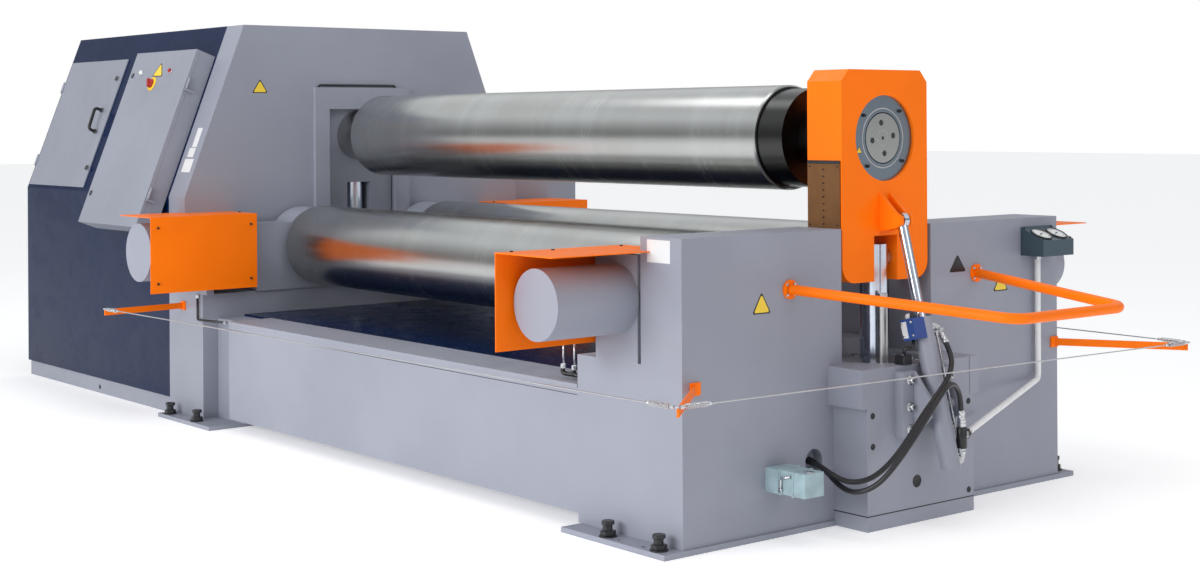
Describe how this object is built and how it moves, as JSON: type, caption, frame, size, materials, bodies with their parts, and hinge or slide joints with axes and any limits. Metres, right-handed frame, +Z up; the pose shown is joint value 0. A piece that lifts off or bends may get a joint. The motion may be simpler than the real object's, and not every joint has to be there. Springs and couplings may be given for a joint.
{
  "type": "three-roll plate rolling machine",
  "caption": "Heavy plate bending rolls: a top roll over two sliding side rolls between welded frames, with a drop end that swings open and a closed drive housing.",
  "frame": {"origin": "on the floor under the middle of the rolls, the centre of the anchor bolt rectangle", "axes": "+X along the rolls towards the drop end, +Y from the operator's side to the rear, +Z up"},
  "size_m": [6.889, 3.0965, 2.043],
  "materials": {
    "grey_paint": "satin",
    "navy_paint": "satin",
    "orange_paint": "gloss",
    "ground_steel": "machined",
    "chrome": "polished",
    "bearing_bronze": "worn",
    "hose_rubber": "matt",
    "socket_plastic": "matt",
    "blue_paint": "satin",
    "white_paint": "gloss",
    "cabinet_paint": "textured"
  },
  "bodies": {
    "machine_frame": {"access_hinge_pins": "ground_steel", "bed_deck": "navy_paint", "bed_front_beam": "grey_paint", "bed_rear_beam": "grey_paint", "cabinet_box": "cabinet_paint", "connector_box": "socket_plastic", "drive_foot_plate": "grey_paint", "drive_guide_bars": "ground_steel", "drive_lift_ram": "chrome", "drive_low_box": "grey_paint", "drive_plate": "grey_paint", "drive_top_block": "grey_paint", "drop_foot_plate": "grey_paint", "drop_front_post": "grey_paint", "drop_lift_ram": "chrome", "drop_low_box": "grey_paint", "drop_rear_post": "grey_paint", "front_drive_cylinder": "grey_paint", "front_drive_guard": "orange_paint", "front_drop_cylinder": "grey_paint", "front_drop_guard": "orange_paint", "gauge_box": "cabinet_paint", "guard_rail": "orange_paint", "hose_lower": "hose_rubber", "hose_upper": "hose_rubber", "housing": "navy_paint", "housing_skirt": "grey_paint", "jack_screws": "ground_steel", "lift_gland": "ground_steel", "pedestal": "grey_paint", "port_fittings": "ground_steel", "pressure_pipe": "white_paint", "rear_box": "cabinet_paint", "rear_drive_cylinder": "grey_paint", "rear_drive_guard": "orange_paint", "rear_drop_cylinder": "grey_paint", "rear_drop_guard": "orange_paint", "tilt_bracket": "grey_paint", "tilt_cylinder": "grey_paint", "trip_arms": "orange_paint", "trip_wires": "ground_steel", "valve_block": "blue_paint", "yoke_pivot_pin": "ground_steel"},
    "top_roll": {"top_roll": "ground_steel"},
    "front_carriage": {"front_drive_block": "grey_paint", "front_drop_block": "grey_paint", "front_push_rods": "chrome"},
    "front_roll": {"front_roll": "ground_steel"},
    "rear_carriage": {"rear_drive_block": "grey_paint", "rear_drop_block": "grey_paint", "rear_push_rods": "chrome"},
    "rear_roll": {"rear_roll": "ground_steel"},
    "drop_end": {"drop_yoke": "orange_paint", "yoke_bearing_ring": "ground_steel", "yoke_wear_plates": "bearing_bronze", "yoke_clevis": "orange_paint"},
    "tilt_rod": {"tilt_rod": "chrome"},
    "cabinet_door": {"cabinet_door": "cabinet_paint"},
    "access_door": {"access_door": "cabinet_paint"}
  },
  "joints": [
    {"name": "top_roll_spin", "type": "hinge", "parent": "machine_frame", "child": "top_roll", "pos_m": [0, 0, 1.451], "axis": [1, 0, 0], "continuous": true},
    {"name": "front_carriage_slide", "type": "slide", "parent": "machine_frame", "child": "front_carriage", "axis": [0, 1, 0], "range_m": [-0.13, 0.15]},
    {"name": "front_roll_spin", "type": "hinge", "parent": "front_carriage", "child": "front_roll", "pos_m": [0, -0.4, 0.876], "axis": [1, 0, 0], "continuous": true},
    {"name": "rear_carriage_slide", "type": "slide", "parent": "machine_frame", "child": "rear_carriage", "axis": [0, -1, 0], "range_m": [-0.13, 0.15]},
    {"name": "rear_roll_spin", "type": "hinge", "parent": "rear_carriage", "child": "rear_roll", "pos_m": [0, 0.4, 0.876], "axis": [1, 0, 0], "continuous": true},
    {"name": "drop_end_tilt", "type": "hinge", "parent": "machine_frame", "child": "drop_end", "pos_m": [2, 0, 0.985], "axis": [0, 1, 0], "range_deg": [0, 60]},
    {"name": "tilt_rod_slide", "type": "slide", "parent": "machine_frame", "child": "tilt_rod", "axis": [-0.2498, 0, 0.9683], "range_m": [-0.212, 0.001]},
    {"name": "cabinet_door_hinge", "type": "hinge", "parent": "machine_frame", "child": "cabinet_door", "pos_m": [-1.998, -1.04751, 1.4543], "axis": [0, 0.3562, 0.9344], "range_deg": [0, 110]},
    {"name": "access_door_hinge", "type": "hinge", "parent": "machine_frame", "child": "access_door", "pos_m": [-3.924, -0.92593, 1.51497], "axis": [0, -0.3562, -0.9344], "range_deg": [0, 110]}
  ],
  "couplings": [
    {"joint": "tilt_rod_slide", "follows": "drop_end_tilt", "m_per_rad": -0.2006}
  ]
}
